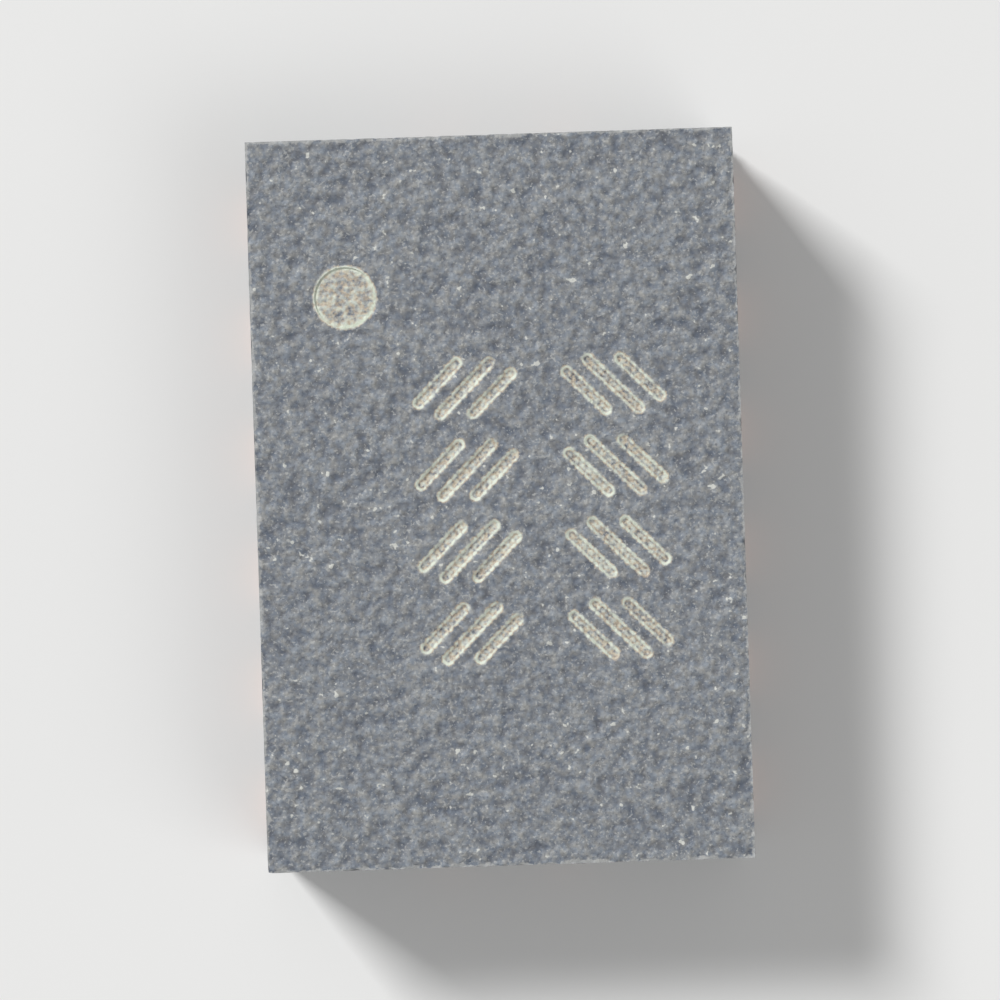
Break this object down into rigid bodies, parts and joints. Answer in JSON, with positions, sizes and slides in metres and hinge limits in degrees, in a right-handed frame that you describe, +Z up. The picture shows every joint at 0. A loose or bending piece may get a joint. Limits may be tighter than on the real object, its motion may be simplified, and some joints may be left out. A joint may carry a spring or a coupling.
{
  "type": "integrated circuit",
  "caption": "Leadless moulded integrated circuit, sawn square, with rows of solder lands along its long sides, a thermal pad beneath and an index mark on top.",
  "frame": {"origin": "middle of the package on the seating plane, which the undersides of the lands and of the thermal pad share", "axes": "+Z up, out of the marked top; +Y along the rows of leads, towards the index mark; pin 1 at -X, +Y, and the pins count anticlockwise seen from above"},
  "size_m": [0.002, 0.003, 0.0008],
  "materials": {
    "mould_compound": "fine matt grain on top, saw marks on the four sides",
    "lead_frame": "copper alloy, sawn bare at the sides, with matt tin on the undersides of the lands and pad",
    "silver_epoxy": "cured silver-filled epoxy, satin",
    "silicon": "polished silicon under clear passivation, aluminium bond pads",
    "gold_wire": "drawn gold"
  },
  "bodies": {
    "root": {"mould_body": "mould_compound", "die_paddle": "lead_frame", "die_attach": "silver_epoxy", "silicon_die": "silicon", "lead_01": "lead_frame", "lead_02": "lead_frame", "lead_03": "lead_frame", "lead_04": "lead_frame", "lead_05": "lead_frame", "lead_06": "lead_frame", "lead_07": "lead_frame", "lead_08": "lead_frame", "lead_09": "lead_frame", "lead_10": "lead_frame", "lead_11": "lead_frame", "lead_12": "lead_frame", "bond_wire_01": "gold_wire", "bond_wire_02": "gold_wire", "bond_wire_03": "gold_wire", "bond_wire_04": "gold_wire", "bond_wire_05": "gold_wire", "bond_wire_06": "gold_wire", "bond_wire_07": "gold_wire", "bond_wire_08": "gold_wire", "bond_wire_09": "gold_wire", "bond_wire_10": "gold_wire", "bond_wire_11": "gold_wire", "bond_wire_12": "gold_wire"}
  },
  "joints": []
}
